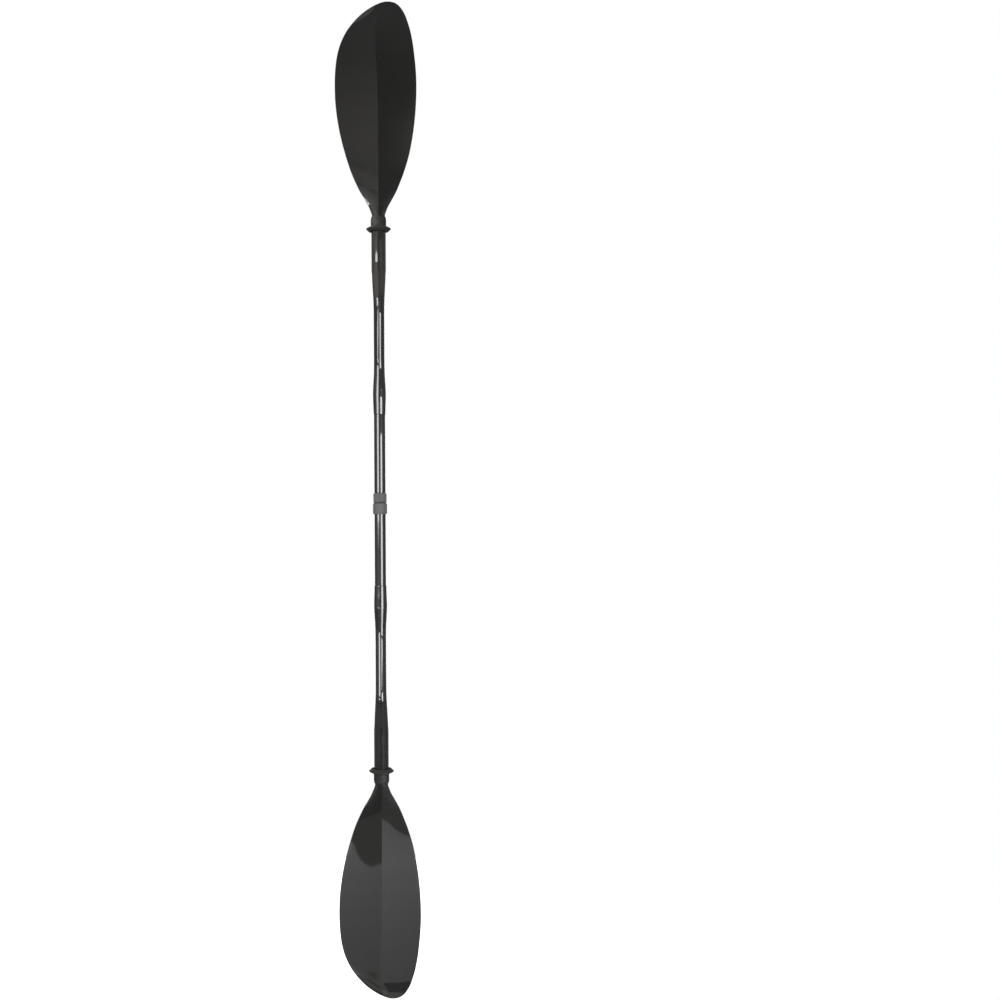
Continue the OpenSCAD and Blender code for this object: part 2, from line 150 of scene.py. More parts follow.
def lateral(n):
    s = np.sin(np.linspace(0, math.pi / 2, n + 1))
    s = np.concatenate([s, [0.006, 0.014, 0.028]])
    s = np.unique(np.round(s, 6))
    return np.concatenate([-s[::-1], s[1:]])


def outline_distance(x, z, rows):
    """Distance from each place to the blade's outline, in the plane of the blade, for the neck upwards."""
    line = np.concatenate([rows[:, [0, 1]], rows[::-1][:, [2, 3]]])
    a, b = line[:-1], line[1:]
    ab = b - a
    ll = np.maximum((ab ** 2).sum(1), 1e-12)
    out = np.full(x.shape, 1e9)
    flat_x, flat_z = x.ravel(), z.ravel()
    res = np.empty(flat_x.size)
    for i in range(0, flat_x.size, 4000):
        p = np.stack([flat_x[i:i + 4000], flat_z[i:i + 4000]], 1)
        ap = p[:, None, :] - a[None]
        t = np.clip((ap * ab[None]).sum(2) / ll[None], 0, 1)
        d = ap - t[..., None] * ab[None]
        res[i:i + 4000] = np.sqrt((d ** 2).sum(2)).min(1)
    out = res.reshape(x.shape)
    return out


SUB = 14
ROWS = blade_grid_rows(SUB)
TT = lateral(30)
GX = np.zeros((len(ROWS), len(TT)))
GZ = np.zeros_like(GX)
GT = np.broadcast_to(TT, GX.shape).copy()
for _i, _r in enumerate(ROWS):
    lx, lz, rx, rz, cx = _r
    x0 = np.where(TT < 0, cx + (cx - lx) * TT, cx + (rx - cx) * TT)
    u = (x0 - lx) / (rx - lx)
    GX[_i] = x0
    GZ[_i] = lz + (rz - lz) * u
RIM_D = outline_distance(GX, GZ, ROWS)
GK = round_k(GZ)


def layer(side, d, roll):
    """Points of a skin's surface, pushed in by d. roll rounds its outer edge at the rim with that radius."""
    x = GX * (1 - (1 - GK) * d / 14.4)
    o = d * ((1 - GK) * np.sqrt(np.maximum(0, 1 - GT * GT)) + GK)
    r = np.maximum(roll * GK, 1e-6)
    s = np.clip(1 - RIM_D / r, 0, 1)
    o = o + np.where(RIM_D < r, r * (1 - np.sqrt(np.maximum(0, 1 - s * s))), 0) * (roll > 0)
    y = np.where(side == 0, face_front(GT, GZ) + o, face_back(GT, GX, GZ) - o) - NECK
    return np.stack([x, y, GZ], 2)


def new_mesh(name, verts, faces, mirror, uv=None):
    v = np.array(verts, float) * MM
    if mirror:
        v[:, 2] *= -1
        faces = [tuple(reversed(f)) for f in faces]
    lo, hi = np.array(cad_lo), np.array(cad_hi)
    v = np.clip(v, lo, hi)
    me = bpy.data.meshes.new(name)
    me.from_pydata(v.tolist(), [], faces)
    me.update()
    me.polygons.foreach_set("use_smooth", np.ones(len(me.polygons), bool))
    if uv is not None:
        lay = me.uv_layers.new(name="Run")
        idx = np.zeros(len(me.loops), np.int32)
        me.loops.foreach_get("vertex_index", idx)
        lay.data.foreach_set("uv", np.array(uv, float)[idx].astype(np.float32).ravel())
    ob = bpy.data.objects.new(name, me)
    scene.collection.objects.link(ob)
    return ob


def slab(name, outer, inner, mirror, flip):
    """Closed sheet between two layers of the grid. flip: the outer layer faces +Y."""
    m, n = outer.shape[:2]
    verts = np.concatenate([outer.reshape(-1, 3), inner.reshape(-1, 3)])
    o = m * n
    faces = []
    for i in range(m - 1):
        for j in range(n - 1):
            a, b, c, d = i * n + j, i * n + j + 1, (i + 1) * n + j + 1, (i + 1) * n + j
            faces.append((a, b, c, d))
            faces.append((o + d, o + c, o + b, o + a))
    for i in range(m - 1):
        a, d = i * n, (i + 1) * n
        faces.append((a, d, o + d, o + a))
        a, d = i * n + n - 1, (i + 1) * n + n - 1
        faces.append((d, a, o + a, o + d))
    for j in range(n - 1):
        a, b = j, j + 1
        faces.append((b, a, o + a, o + b))
        a, b = (m - 1) * n + j, (m - 1) * n + j + 1
        faces.append((a, b, o + b, o + a))
    if flip:
        faces = [tuple(reversed(f)) for f in faces]
    return new_mesh(name, verts, faces, mirror)


def build_skin(half, side):
    mirror = half == "lower"
    outer = layer(side, 0.0, 0.85)
    inner = layer(side, SKIN, 0.0)
    kind = "power" if side == 0 else "back"
    ob = slab(f"{half}_{kind}_skin", outer, inner, mirror, side == 1)
    # the edges round the skin's outline stay crisp
    me = ob.data
    m, n = outer.shape[:2]
    mid = n // 2
    sharp = np.zeros(len(me.edges), bool)
    ev = np.zeros(len(me.edges) * 2, np.int32)
    me.edges.foreach_get("vertices", ev)
    ev = ev.reshape(-1, 2)
    o = m * n
    border = np.zeros(2 * o, bool)
    grid = np.arange(2 * o).reshape(2, m, n)
    border[grid[:, 0, :]] = True
    border[grid[:, -1, :]] = True
    border[grid[:, :, 0]] = True
    border[grid[:, :, -1]] = True
    both = border[ev[:, 0]] & border[ev[:, 1]]
    sharp[both] = True
    me.attributes.new("sharp_edge", "BOOLEAN", "EDGE").data.foreach_set("value", sharp)
    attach(ob, f"{half}_half")
    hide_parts(f"{half}_{kind}_face")
    return ob


def build_band(half):
    """The rim between the two skins: a strip that follows the outline, slightly crowned."""
    mirror = half == "lower"
    front, back = layer(0, SKIN - 0.02, 0.0), layer(1, SKIN - 0.02, 0.0)
    lo = 4 * SUB

    def path(g, inset):
        j = inset
        left = g[lo:, j]
        tip = g[-1, j + 1:g.shape[1] - 1 - j]
        right = g[lo:, g.shape[1] - 1 - j][::-1]
        return np.concatenate([left, tip, right])

    f0, b0 = path(front, 0), path(back, 0)
    mid_x = np.array([0.0, 0.0, 870.0])
    inward = mid_x - f0
    inward[:, 1] = 0
    inward /= np.linalg.norm(inward, axis=1)[:, None]
    prof = [(0.0, 3.0), (0.0, 0.12), (0.12, 0.02), (0.5, -0.0), (0.88, 0.02), (1.0, 0.12), (1.0, 3.0)]
    rings = []
    for s, inset in prof:
        p = f0 * (1 - s) + b0 * s
        rings.append(p + inward * inset)
    rings = np.array(rings)
    m, n = rings.shape[:2]
    faces = []
    for i in range(m - 1):
        for j in range(n - 1):
            a, b, c, d = i * n + j, i * n + j + 1, (i + 1) * n + j + 1, (i + 1) * n + j
            faces.append((a, d, c, b))
    for j in range(n - 1):  # closes the inner side
        a, b, c, d = (m - 1) * n + j, (m - 1) * n + j + 1, j + 1, j
        faces.append((a, d, c, b))
    for j in (0, n - 1):
        ring = [i * n + j for i in range(m)]
        faces.append(tuple(ring if j == 0 else ring[::-1]))
    ob = new_mesh(f"{half}_rim_band", rings.reshape(-1, 3), faces, mirror)
    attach(ob, f"{half}_half")
    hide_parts(f"{half}_edge_band")
    return ob


def tube_mesh(name, zs, a_out, b_out, a_in, b_in, yc, n, mirror):
    """Closed tube wall with an oval section at each height, with a run-length UV in metres."""
    m = len(zs)
    ang = np.linspace(0, 2 * math.pi, n + 1)
    per = 2 * math.pi * 15.0 * MM
    rings, uv = [], []
    for z, ao, bo, ai, bi, y in zip(zs, a_out, b_out, a_in, b_in, yc):
        rings.append(np.stack([ao * np.cos(ang), y + bo * np.sin(ang), np.full(n + 1, z)], 1))
        uv.append(np.stack([ang / (2 * math.pi) * per, np.full(n + 1, z * MM)], 1))
    for z, ao, bo, ai, bi, y in zip(zs, a_out, b_out, a_in, b_in, yc):
        rings.append(np.stack([ai * np.cos(ang), y + bi * np.sin(ang), np.full(n + 1, z)], 1))
        uv.append(np.stack([ang / (2 * math.pi) * per, np.full(n + 1, z * MM)], 1))
    v = np.concatenate(rings)
    uvs = np.concatenate(uv)
    w = n + 1
    faces = []
    for i in range(m - 1):
        for j in range(n):
            a = i * w + j
            faces.append((a, a + 1, a + 1 + w, a + w))
            b = (m + i) * w + j
            faces.append((b + w, b + 1 + w, b + 1, b))
    for j in range(n):
        a, b = j, m * w + j
        faces.append((a + 1, a, b, b + 1))
        a, b = (m - 1) * w + j, (2 * m - 1) * w + j
        faces.append((a, a + 1, b + 1, b))
    # weld the seam while keeping the UV per corner
    remap = np.arange(len(v))
    for i in range(2 * m):
        remap[i * w + n] = i * w
    keep = np.unique(remap)
    index = {int(k): i for i, k in enumerate(keep)}
    new_faces = [tuple(index[int(remap[q])] for q in f) for f in faces]
    corner = [uvs[q] for f in (faces if not mirror else [tuple(reversed(f)) for f in faces]) for q in f]
    ob = new_mesh(name, v[keep], new_faces, mirror)
    lay = ob.data.uv_layers.new(name="Run")
    lay.data.foreach_set("uv", np.array(corner, np.float32).ravel())
    return ob


def sharp_by_angle(ob, deg):
    import bmesh
    bm = bmesh.new()
    bm.from_mesh(ob.data)
    for e in bm.edges:
        if len(e.link_faces) == 2 and e.calc_face_angle(0) > math.radians(deg):
            e.smooth = False
    bm.to_mesh(ob.data)
    bm.free()


def build_crank(half):
    mirror = half == "lower"
    zs = np.concatenate([[190, 190.25, 190.8], np.arange(192, 606, 2.0), [606]])
    yc = soft(zs, CRANK_LINE, 29.5)
    ao, bo = soft(zs, CRANK_OUT, 12, 1), soft(zs, CRANK_OUT, 12, 2)
    # the end of the swollen socket is rounded over
    drop = np.where(zs < 191, 0.55 * (1 - np.sqrt(np.maximum(0, 1 - ((191 - zs) / 1.0) ** 2))), 0)
    ao, bo = ao - drop, bo - drop
    ai = np.where(zs < 245, 12.87, ao - 1.4)
    bi = np.where(zs < 245, 12.87, bo - 1.6)
    ob = tube_mesh(f"{half}_bent_tube", zs, ao, bo, ai, bi, yc, 128, mirror)
    sharp_by_angle(ob, 40)
    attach(ob, f"{half}_half")
    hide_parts(f"{half}_crank_shaft")
    return ob


def build_centre(half):
    mirror = half == "lower"
    z0 = 15.0 if half == "upper" else 12.0
    zs = np.concatenate([[z0, z0 + 0.15, z0 + 0.4], np.arange(z0 + 2, 236, 4.0), [236]])
    cut = np.where(zs < z0 + 0.4, 0.3 * (1 - (zs - z0) / 0.4), 0)
    r = np.full(len(zs), 12.7)
    one = np.full(len(zs), 11.6)
    ob = tube_mesh(f"{half}_straight_tube", zs, r - cut, r - cut, one, one, np.zeros(len(zs)), 128, mirror)
    sharp_by_angle(ob, 40)
    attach(ob, f"{half}_half")
    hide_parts(f"{half}_centre_tube")
    return ob


# ---------------------------------------------------------------- materials
class Nodes:
    def __init__(self, name):
        self.mat = bpy.data.materials.new(name)
        self.mat.use_nodes = True
        self.t = self.mat.node_tree
        self.t.nodes.clear()
        self.out = self.t.nodes.new("ShaderNodeOutputMaterial")
        self.p = self.t.nodes.new("ShaderNodeBsdfPrincipled")
        self.t.links.new(self.p.outputs[0], self.out.inputs[0])

    def put(self, sock, v):
        if isinstance(v, bpy.types.NodeSocket):
            self.t.links.new(v, sock)
        elif v is not None:
            sock.default_value = v

    def math(self, op, a, b=None, c=None, clamp=False):
        n = self.t.nodes.new("ShaderNodeMath")
        n.operation = op
        n.use_clamp = clamp
        self.put(n.inputs[0], a)
        self.put(n.inputs[1], b)
        self.put(n.inputs[2], c)
        return n.outputs[0]

    def coord(self, kind="Object"):
        return self.t.nodes.new("ShaderNodeTexCoord").outputs[kind]

    def scale(self, v, s):
        n = self.t.nodes.new("ShaderNodeMapping")
        self.put(n.inputs["Vector"], v)
        n.inputs["Scale"].default_value = s
        return n.outputs[0]

    def split(self, v):
        n = self.t.nodes.new("ShaderNodeSeparateXYZ")
        self.put(n.inputs[0], v)
        return n.outputs

    def noise(self, v, scale, detail=3.0, rough=0.55, w=None):
        n = self.t.nodes.new("ShaderNodeTexNoise")
        self.put(n.inputs["Vector"], v)
        n.inputs["Scale"].default_value = scale
        n.inputs["Detail"].default_value = detail
        n.inputs["Roughness"].default_value = rough
        return n.outputs["Fac"]

    def mix(self, f, a, b):
        n = self.t.nodes.new("ShaderNodeMix")
        n.data_type = "FLOAT"
        self.put(n.inputs[0], f)
        self.put(n.inputs[2], a)
        self.put(n.inputs[3], b)
        return n.outputs[0]

    def mixc(self, f, a, b, mode="MIX"):
        n = self.t.nodes.new("ShaderNodeMix")
        n.data_type = "RGBA"
        n.blend_type = mode
        self.put(n.inputs[0], f)
        self.put(n.inputs[6], a)
        self.put(n.inputs[7], b)
        return n.outputs[2]

    def ramp(self, f, stops):
        n = self.t.nodes.new("ShaderNodeValToRGB")
        self.put(n.inputs[0], f)
        e = n.color_ramp.elements
        while len(e) < len(stops):
            e.new(0.5)
        for el, (pos, c) in zip(e, stops):
            el.position = pos
            el.color = c if len(c) == 4 else (*c, 1)
        return n.outputs[0]

    def remap(self, v, a, b, c, d):
        n = self.t.nodes.new("ShaderNodeMapRange")
        self.put(n.inputs[0], v)
        for i, x in enumerate((a, b, c, d)):
            n.inputs[1 + i].default_value = x
        return n.outputs[0]

    def bump(self, height, strength, distance, normal=None):
        n = self.t.nodes.new("ShaderNodeBump")
        n.inputs["Strength"].default_value = strength
        n.inputs["Distance"].default_value = distance
        self.put(n.inputs["Height"], height)
        self.put(n.inputs["Normal"], normal)
        return n.outputs[0]

    def edge(self, radius=0.0004):
        """Roughly how convex the surface is, from the pointiness of the mesh."""
        return self.t.nodes.new("ShaderNodeNewGeometry").outputs["Pointiness"]


def carbon(name, uv, dark=0.012, light=0.019, cell=0.0021, coat_rough=0.045):
    """2 x 2 twill under a clear coat: rows of rounded tows, fibre grain along each, and a coat that has taken up
    a little of the weave, with fine handling scratches."""
    n = Nodes(name)
    if uv:
        m = n.t.nodes.new("ShaderNodeUVMap")
        m.uv_map = "Run"
        x, y, _ = n.split(m.outputs[0])
        u, v = n.math("DIVIDE", x, cell), n.math("DIVIDE", y, cell)
    else:
        x, _, z = n.split(n.coord())
        u, v = n.math("DIVIDE", x, cell), n.math("DIVIDE", z, cell)
    iu, iv = n.math("FLOOR", u), n.math("FLOOR", v)
    fu, fv = n.math("SUBTRACT", n.math("FRACT", u), 0.5), n.math("SUBTRACT", n.math("FRACT", v), 0.5)
    tw = n.math("FLOORED_MODULO", n.math("SUBTRACT", iu, iv), 4.0)
    over = n.math("LESS_THAN", tw, 1.5)                      # warp on top
    # height of each tow across its width, and its dive at the ends of a float
    hw = n.math("SUBTRACT", 1.0, n.math("MULTIPLY", n.math("MULTIPLY", fu, fu), 3.6))
    hf = n.math("SUBTRACT", 1.0, n.math("MULTIPLY", n.math("MULTIPLY", fv, fv), 3.6))
    height = n.mix(over, hf, hw)
    comb = n.t.nodes.new("ShaderNodeCombineXYZ")
    n.put(comb.inputs[0], u)
    n.put(comb.inputs[1], v)
    uvv = comb.outputs[0]
    grain_w = n.noise(n.scale(uvv, (14, 0.35, 1)), 1.0, 2.0)
    grain_f = n.noise(n.scale(uvv, (0.35, 14, 1)), 1.0, 2.0)
    grain = n.mix(over, grain_f, grain_w)
    # faint long streaks along the blade and cloudiness of the resin
    streak = n.noise(n.scale(uvv, (0.9, 0.012, 1)), 1.0, 3.0, 0.6)
    cloud = n.noise(n.scale(uvv, (0.03, 0.03, 1)), 1.0, 3.0)
    tone = n.math("ADD", n.math("MULTIPLY", grain, 0.62), n.math("MULTIPLY", over, 0.10))
    tone = n.math("ADD", tone, n.math("MULTIPLY", streak, 0.35))
    tone = n.math("MULTIPLY", tone, n.remap(cloud, 0.3, 0.7, 0.85, 1.15), clamp=True)
    col = n.ramp(tone, [(0.15, (dark * 0.75, dark * 0.75, dark * 0.74)), (0.55, (dark, dark * 0.99, dark * 0.97)),
                        (1.0, (light, light * 0.985, light * 0.95))])
    n.put(n.p.inputs["Base Color"], col)
    n.put(n.p.inputs["Roughness"], n.remap(grain, 0.2, 0.8, 0.36, 0.52))
    n.p.inputs["Specular IOR Level"].default_value = 0.13
    n.put(n.p.inputs["Normal"], n.bump(n.math("ADD", height, n.math("MULTIPLY", grain, 0.25)), 0.55, 0.00012))
    n.p.inputs["Coat Weight"].default_value = 1.0
    n.p.inputs["Coat Roughness"].default_value = coat_rough
    n.p.inputs["Coat IOR"].default_value = 1.5
    # clear coat: slight print-through of the weave, orange peel and hairline scratches
    peel = n.noise(n.coord(), 160.0, 2.0)
    scratch = n.noise(n.scale(uvv, (3.0, 0.08, 1)), 1.0, 4.0, 0.7)
    lines = n.math("GREATER_THAN", scratch, 0.69)
    top = n.math("ADD", n.math("MULTIPLY", height, 0.010), n.math("MULTIPLY", peel, 0.05))
    top = n.math("SUBTRACT", top, n.math("MULTIPLY", lines, 0.010))
    n.put(n.p.inputs["Coat Normal"], n.bump(top, 0.5, 0.00006))
    return n.mat


def rubber(name, base=0.018, rough=0.62, spec=0.28):
    n = Nodes(name)
    c = n.coord()
    fine = n.noise(c, 2600.0, 3.0, 0.6)
    broad = n.noise(c, 90.0, 4.0, 0.6)
    dust = n.noise(n.scale(c, (1, 1, 0.4)), 420.0, 5.0, 0.7)
    tone = n.math("ADD", n.math("MULTIPLY", broad, 0.6), n.math("MULTIPLY", dust, 0.5))
    n.put(n.p.inputs["Base Color"], n.ramp(tone, [
        (0.3, (base * 0.8, base * 0.78, base * 0.76)), (0.6, (base, base * 0.97, base * 0.94)),
        (0.85, (base * 1.9, base * 1.82, base * 1.7))]))
    n.put(n.p.inputs["Roughness"], n.remap(broad, 0.3, 0.7, rough - 0.08, rough + 0.1))
    n.p.inputs["Specular IOR Level"].default_value = spec
    n.put(n.p.inputs["Normal"], n.bump(n.math("ADD", fine, n.math("MULTIPLY", broad, 0.5)), 0.35, 0.00008))
    return n.mat


def moulded(name, base, rough=0.42, scuff=1.6, spec=0.5):
    """Glass-filled nylon as it comes from the mould: fine spark texture, flow clouds and rubbed corners."""
    n = Nodes(name)
    c = n.coord()
    grain = n.noise(c, 3200.0, 2.0, 0.5)
    cloud = n.noise(n.scale(c, (1, 1, 0.35)), 160.0, 4.0, 0.6)
    speck = n.noise(c, 1500.0, 1.0, 0.5)
    worn = n.remap(n.edge(), 0.505, 0.56, 0.0, 1.0)
    patch = n.noise(c, 500.0, 3.0, 0.6)
    worn = n.math("MULTIPLY", worn, n.remap(patch, 0.42, 0.6, 0.0, 1.0), clamp=True)
    a = tuple(b * 0.86 for b in base)
    col = n.ramp(n.math("ADD", n.math("MULTIPLY", cloud, 0.7), n.math("MULTIPLY", speck, 0.3)),
                 [(0.3, a), (0.55, base), (0.75, tuple(b * 1.12 for b in base))])
    col = n.mixc(n.math("MULTIPLY", worn, 0.6), col, tuple(min(1, b * scuff) for b in base) + (1,))
    n.put(n.p.inputs["Base Color"], col)
    n.put(n.p.inputs["Roughness"], n.mix(worn, n.remap(cloud, 0.3, 0.7, rough - 0.05, rough + 0.08), rough - 0.12))
    n.p.inputs["Specular IOR Level"].default_value = spec
    n.put(n.p.inputs["Normal"], n.bump(grain, 0.25, 0.00005))
    return n.mat


def resin(name):
    n = Nodes(name)
    c = n.coord()
    a = n.noise(n.scale(c, (1, 1, 0.2)), 900.0, 4.0, 0.65)
    b = n.noise(c, 120.0, 4.0, 0.6)
    chips = n.math("GREATER_THAN", b, 0.66)
    col = n.ramp(a, [(0.3, (0.009, 0.009, 0.009)), (0.7, (0.022, 0.021, 0.02))])
    col = n.mixc(n.math("MULTIPLY", chips, 0.35), col, (0.07, 0.068, 0.062, 1))
    n.put(n.p.inputs["Base Color"], col)
    n.put(n.p.inputs["Roughness"], n.remap(a, 0.3, 0.7, 0.34, 0.55))
    n.put(n.p.inputs["Normal"], n.bump(a, 0.3, 0.00006))
    return n.mat


def steel(name):
    n = Nodes(name)
    c = n.coord()
    turn = n.noise(n.scale(c, (6, 1, 1)), 1200.0, 3.0, 0.6)
    n.put(n.p.inputs["Base Color"], n.ramp(turn, [(0.3, (0.46, 0.46, 0.47)), (0.7, (0.62, 0.62, 0.61))]))
    n.p.inputs["Metallic"].default_value = 1.0
    n.put(n.p.inputs["Roughness"], n.remap(turn, 0.3, 0.7, 0.2, 0.36))
    n.put(n.p.inputs["Normal"], n.bump(turn, 0.2, 0.00003))
    return n.mat


def foam(name):
    n = Nodes(name)
    c = n.coord()
    v = n.t.nodes.new("ShaderNodeTexVoronoi")
    n.put(v.inputs["Vector"], c)
    v.inputs["Scale"].default_value = 900.0
    d = v.outputs["Distance"]
    n.put(n.p.inputs["Base Color"], n.ramp(d, [(0.0, (0.72, 0.66, 0.46)), (0.7, (0.55, 0.49, 0.33))]))
    n.p.inputs["Roughness"].default_value = 0.9
    n.put(n.p.inputs["Normal"], n.bump(d, 0.6, 0.0002))
    return n.mat


M = {
    "blade": carbon("carbon_blade", False, 0.005, 0.009, coat_rough=0.03),
    "tube": carbon("carbon_tube", True, 0.008, 0.0125, coat_rough=0.03),
    "inner": carbon("carbon_inner", False, 0.014, 0.022, coat_rough=0.2),
    "rim": resin("rim_resin"),
    "rubber": rubber("black_rubber", 0.0135, 0.7, 0.22),
    "seal": rubber("grey_rubber", 0.075, 0.7, 0.2),
    "grey": moulded("grey_nylon", (0.106, 0.106, 0.108), 0.66, 1.35, 0.3),
    "nylon": moulded("pale_nylon", (0.68, 0.67, 0.63), 0.45, 1.05),
    "steel": steel("pin_steel"),
    "foam": foam("core_foam"),
}


def paint(ob, mat):
    ob.data.materials.clear()
    ob.data.materials.append(mat)


# ---------------------------------------------------------------- pieces
for h in ("upper", "lower"):
    paint(build_skin(h, 0), M["blade"])
    paint(build_skin(h, 1), M["blade"])
    paint(build_band(h), M["rim"])
    paint(build_crank(h), M["tube"])
    paint(build_centre(h), M["tube"])

CAD = {
    "upper_drip_ring": "rubber", "lower_drip_ring": "rubber", "upper_spigot": "inner", "lower_spigot": "inner",
    "upper_bulkhead": "foam", "lower_bulkhead": "foam", "upper_blade_core": "foam", "lower_blade_core": "foam",
    "ferrule_tube": "inner", "ferrule_plug": "rubber", "index_ring": "grey", "ring_seal": "seal",
    "clamp_collar": "grey", "guide_bush": "nylon", "cam_lever": "grey", "lever_pin": "steel", "cam_pad": "rubber"}
for node, key in CAD.items():
    paint(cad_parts[node], M[key])


def soften(node, width, angle=35):
    """Small moulded radii on a CAD node's corners, as modifiers."""
    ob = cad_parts[node]
    w = ob.modifiers.new("weld", "WELD")
    w.merge_threshold = 1e-6
    b = ob.modifiers.new("radius", "BEVEL")
    b.width = width
    b.segments = 2
    b.limit_method = "ANGLE"
    b.angle_limit = math.radians(angle)
    b.use_clamp_overlap = True
    b.harden_normals = False


for node, width in (("clamp_collar", 0.0005), ("cam_lever", 0.0006), ("upper_drip_ring", 0.0004), ("lower_drip_ring", 0.0004)):
    soften(node, width)


# ---------------------------------------------------------------- stage
fm = Nodes("floor_white")
fc = fm.noise(fm.coord(), 3.0, 2.0)
fm.put(fm.p.inputs["Base Color"], fm.ramp(fc, [(0.3, (0.90, 0.90, 0.90)), (0.7, (0.92, 0.92, 0.915))]))
fm.p.inputs["Roughness"].default_value = 0.8
fm.p.inputs["Specular IOR Level"].default_value = 0.1
fm.p.inputs["Emission Color"].default_value = (1, 1, 1, 1)
fm.p.inputs["Emission Strength"].default_value = 0.62
R = 1.25
ring = [(R * math.cos(a), R * math.sin(a), -1.1006) for a in np.linspace(0, 2 * math.pi, 97)[:-1]]
fme = bpy.data.meshes.new("floor")
fme.from_pydata(ring, [], [tuple(range(96))])
floor = bpy.data.objects.new("floor", fme)
scene.collection.objects.link(floor)
paint(floor, fm.mat)
floor.visible_glossy = False


class Sky:
    """Plain arithmetic nodes for the world and for the card that hangs in front of the paddle."""
    def __init__(self, tree):
        self.t = tree

    def put(self, sock, v):
        if isinstance(v, bpy.types.NodeSocket):
            self.t.links.new(v, sock)
        else:
            sock.default_value = v

    def op(self, name, a, b=0.0, clamp=False):
        n = self.t.nodes.new("ShaderNodeMath")
        n.operation = name
        n.use_clamp = clamp
        self.put(n.inputs[0], a)
        self.put(n.inputs[1], b)
        return n.outputs[0]

    def curve(self, v, table):
        """Straight lines between (position, value) pairs."""
        lo, hi = table[0][0], table[-1][0]
        top = max(r[1] for r in table)
        n = self.t.nodes.new("ShaderNodeValToRGB")
        self.put(n.inputs[0], self.op("DIVIDE", self.op("SUBTRACT", v, lo), hi - lo))
        e = n.color_ramp.elements
        while len(e) < len(table):
            e.new(0.5)
        for el, (x, y) in zip(e, table):
            el.position = (x - lo) / (hi - lo)
            el.color = (y / top, y / top, y / top, 1)
        return self.op("MULTIPLY", n.outputs[0], top)

    def step(self, v, a, b):
        n = self.t.nodes.new("ShaderNodeMapRange")
        n.interpolation_type = "SMOOTHSTEP"
        self.put(n.inputs[0], v)
        n.inputs[1].default_value, n.inputs[2].default_value = a, b
        return n.outputs[0]

    def mix(self, f, a, b):
        n = self.t.nodes.new("ShaderNodeMix")
        n.data_type = "FLOAT"
        self.put(n.inputs[0], f)
        self.put(n.inputs[2], a)
        self.put(n.inputs[3], b)
        return n.outputs[0]


world = bpy.data.worlds.new("studio")
scene.world = world
world.use_nodes = True
wt = world.node_tree
wt.nodes.clear()
wout = wt.nodes.new("ShaderNodeOutputWorld")
mixw = wt.nodes.new("ShaderNodeMixShader")
lp = wt.nodes.new("ShaderNodeLightPath")
bg_cam = wt.nodes.new("ShaderNodeBackground")
bg_cam.inputs[0].default_value = (1, 1, 1, 1)
bg_cam.inputs[1].default_value = 1.0
bg_env = wt.nodes.new("ShaderNodeBackground")
tc = wt.nodes.new("ShaderNodeTexCoord")
sp = wt.nodes.new("ShaderNodeSeparateXYZ")
wt.links.new(tc.outputs["Generated"], sp.inputs[0])
sk = Sky(wt)
dx, dy, dz = sp.outputs
# below the horizon: the lit floor of the studio, brighter the steeper it is seen
low = sk.curve(dz, [(-1.0, 2.05), (-0.5, 1.97), (-0.42, 1.75), (-0.392, 1.50), (-0.3665, 1.32), (-0.337, 1.17),
                    (-0.29, 1.05), (-0.213, 0.95), (-0.115, 0.86), (0.0, 0.72)])
ax = sk.op("ABSOLUTE", dx)
low = sk.op("MULTIPLY", low, sk.curve(ax, [(0.0, 1.0), (0.15, 1.0), (0.21, 0.26), (0.5, 0.22), (1.0, 0.3)]))
# above it: a dim room that gets lighter upwards and to the left
high = sk.curve(dz, [(-0.1, 0.02), (0.03, 0.04), (0.08, 0.11), (0.2, 0.15), (0.26, 0.185), (0.345, 0.32), (0.385, 0.44),
                     (0.45, 0.60), (0.6, 0.85), (1.0, 1.3)])
high = sk.op("MULTIPLY", high, sk.curve(dx, [(-1.0, 1.7), (-0.4, 1.5), (-0.15, 1.05), (-0.05, 1.0), (0.2, 0.75),
                                             (0.5, 0.8), (1.0, 1.0)]))
edge_z = sk.op("SUBTRACT", dz, sk.op("MULTIPLY", dx, 0.12))
above = sk.step(edge_z, -0.022, -0.015)
front = sk.mix(above, low, high)
walls = sk.op("ADD", sk.op("MULTIPLY", sk.step(sk.op("MULTIPLY", dx, -1.0), 0.28, 0.42), 0.6),
              sk.op("MULTIPLY", sk.step(dx, 0.28, 0.42), 0.3))
walls = sk.op("MULTIPLY", walls, sk.curve(dz, [(-1.0, 0.0), (-0.13, 0.0), (-0.09, 1.0), (0.3, 1.0), (0.5, 0.2), (1.0, 0.0)]))
front = sk.op("ADD", front, walls)
total = sk.mix(sk.step(dy, -0.15, 0.25), front, sk.curve(dz, [(-1.0, 0.5), (0.0, 0.22), (0.5, 0.6), (1.0, 1.4)]))
wt.links.new(total, bg_env.inputs[1])
tint = wt.nodes.new("ShaderNodeMix")
tint.data_type = "RGBA"
wt.links.new(above, tint.inputs[0])
tint.inputs[6].default_value = (1.0, 1.0, 0.995, 1)
tint.inputs[7].default_value = (1.0, 0.965, 0.91, 1)
wt.links.new(tint.outputs[2], bg_env.inputs[0])
wt.links.new(lp.outputs["Is Camera Ray"], mixw.inputs[0])
wt.links.new(bg_env.outputs[0], mixw.inputs[1])
wt.links.new(bg_cam.outputs[0], mixw.inputs[2])
wt.links.new(mixw.outputs[0], wout.inputs[0])
